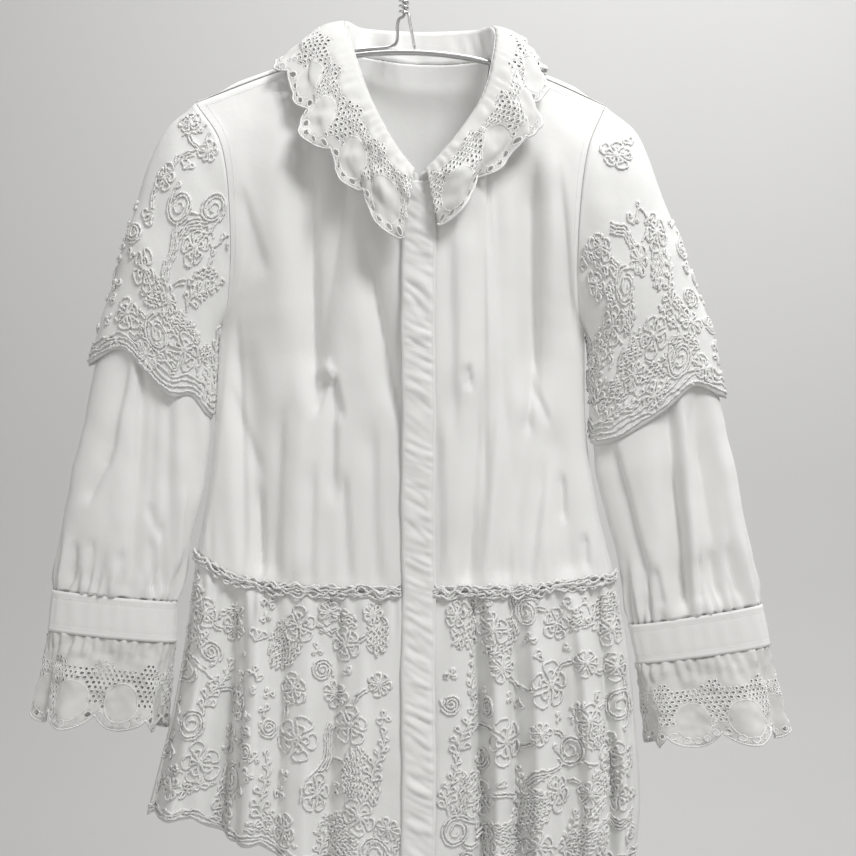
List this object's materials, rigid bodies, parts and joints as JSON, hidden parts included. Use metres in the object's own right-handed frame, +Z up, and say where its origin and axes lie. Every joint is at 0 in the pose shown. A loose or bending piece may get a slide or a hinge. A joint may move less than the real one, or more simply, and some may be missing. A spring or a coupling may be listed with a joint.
{
  "type": "embroidered blouse on a wire hanger",
  "caption": "Hip-length blouse with lace collar and cuff frills, corded upper sleeves and peplum, hanging open-necked on a curved wire hanger.",
  "frame": {"origin": "underside of the hook's crown, where a rail carries the hanger", "axes": "+Z up, the front of the blouse faces -Y, the wearer's right is at -X"},
  "size_m": [0.7259, 0.1273, 0.9145],
  "materials": {
    "cotton": "matte plain cotton",
    "voile": "matte voile with white corded embroidery",
    "lace": "matte cotton eyelet lace",
    "chrome": "polished chrome wire"
  },
  "bodies": {
    "root": {"front_right": "cotton", "front_left": "cotton", "back": "cotton", "placket": "cotton", "collar_stand": "cotton", "sleeve_lower_right": "cotton", "sleeve_lower_left": "cotton", "cuff_right": "cotton", "cuff_left": "cotton", "sleeve_upper_right": "voile", "sleeve_upper_left": "voile", "peplum_front_right": "voile", "peplum_front_left": "voile", "peplum_back": "voile", "waist_edge_right": "voile", "waist_edge_left": "voile", "waist_edge_back": "voile", "collar_lace_right": "lace", "collar_lace_back": "lace", "collar_lace_left": "lace", "cuff_lace_right_front": "lace", "cuff_lace_right_back": "lace", "cuff_lace_left_front": "lace", "cuff_lace_left_back": "lace", "hanger_hook": "chrome", "hanger_twist": "chrome", "hanger_bar": "chrome"}
  },
  "joints": []
}
